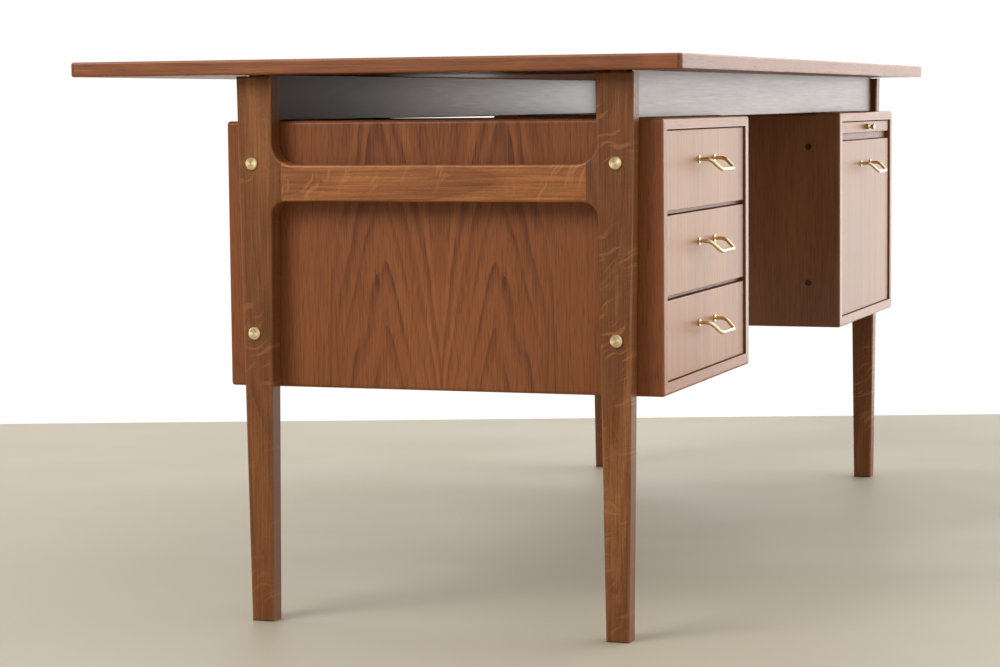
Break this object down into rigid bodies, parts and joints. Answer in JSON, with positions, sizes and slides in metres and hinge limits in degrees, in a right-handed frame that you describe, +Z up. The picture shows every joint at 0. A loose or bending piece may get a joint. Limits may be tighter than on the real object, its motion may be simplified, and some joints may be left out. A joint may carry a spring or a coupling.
{
  "type": "writing desk",
  "caption": "Free-standing writing desk: oak end frames carry a plain top and hanging cases with small drawers, a file drawer and a pull-out writing slide, with brass hardware.",
  "frame": {"origin": "on the floor, under the middle of the top", "axes": "+X along the desk to the user's right, -Y towards the user (the drawer side), +Z up"},
  "size_m": [1.575, 0.815, 0.72],
  "materials": {
    "top_veneer": "satin oiled veneer",
    "top_lipping": "satin oiled solid edge",
    "frame_oak": "satin oiled oak",
    "apron_teak": "satin oiled",
    "case_teak": "satin oiled veneer",
    "case_back_ply": "satin oiled veneer",
    "front_teak": "satin oiled veneer",
    "slide_teak": "satin oiled veneer",
    "box_oak": "matt lacquer",
    "box_ply": "matt lacquer",
    "runner_beech": "waxed",
    "plug_wood": "satin",
    "brass": "brushed",
    "steel": "plain"
  },
  "bodies": {
    "desk": {"apron_screws": "steel", "back_apron": "apron_teak", "case_nuts": "steel", "file_drawer_runners": "runner_beech", "frame_bolts": "brass", "frame_dowels": "runner_beech", "frame_washers": "steel", "front_apron": "apron_teak", "kneehole_plugs": "plug_wood", "left_back_leg": "frame_oak", "left_case_back": "case_back_ply", "left_case_bottom": "case_teak", "left_case_inner_side": "case_teak", "left_case_outer_side": "case_teak", "left_case_top": "case_teak", "left_cross_rail": "frame_oak", "left_front_leg": "frame_oak", "leg_collars": "steel", "leg_studs": "steel", "right_back_leg": "frame_oak", "right_case_back": "case_back_ply", "right_case_bottom": "case_teak", "right_case_inner_side": "case_teak", "right_case_outer_side": "case_teak", "right_case_top": "case_teak", "right_cross_rail": "frame_oak", "right_front_leg": "frame_oak", "slide_shelf": "case_teak", "small_drawer_dividers": "case_teak", "small_drawer_runners": "runner_beech", "top_lippings": "top_lipping", "top_panel": "top_veneer"},
    "drawer_1": {"drawer_1_back": "box_oak", "drawer_1_bottom": "box_ply", "drawer_1_front": "front_teak", "drawer_1_left_side": "box_oak", "drawer_1_pull": "brass", "drawer_1_right_side": "box_oak"},
    "drawer_2": {"drawer_2_back": "box_oak", "drawer_2_bottom": "box_ply", "drawer_2_front": "front_teak", "drawer_2_left_side": "box_oak", "drawer_2_pull": "brass", "drawer_2_right_side": "box_oak"},
    "drawer_3": {"drawer_3_back": "box_oak", "drawer_3_bottom": "box_ply", "drawer_3_front": "front_teak", "drawer_3_left_side": "box_oak", "drawer_3_pull": "brass", "drawer_3_right_side": "box_oak"},
    "file_drawer": {"file_drawer_back": "box_oak", "file_drawer_bottom": "box_ply", "file_drawer_front": "front_teak", "file_drawer_left_side": "box_oak", "file_drawer_pull": "brass", "file_drawer_right_side": "box_oak", "file_hangers": "steel"},
    "writing_slide": {"slide_board": "slide_teak", "slide_knob": "brass"}
  },
  "joints": [
    {"name": "drawer_1_slide", "type": "slide", "parent": "desk", "child": "drawer_1", "axis": [0, -1, 0], "range_m": [0, 0.38]},
    {"name": "drawer_2_slide", "type": "slide", "parent": "desk", "child": "drawer_2", "axis": [0, -1, 0], "range_m": [0, 0.38]},
    {"name": "drawer_3_slide", "type": "slide", "parent": "desk", "child": "drawer_3", "axis": [0, -1, 0], "range_m": [0, 0.38]},
    {"name": "file_drawer_slide", "type": "slide", "parent": "desk", "child": "file_drawer", "axis": [0, -1, 0], "range_m": [0, 0.38]},
    {"name": "writing_slide_travel", "type": "slide", "parent": "desk", "child": "writing_slide", "axis": [0, -1, 0], "range_m": [0, 0.34]}
  ]
}
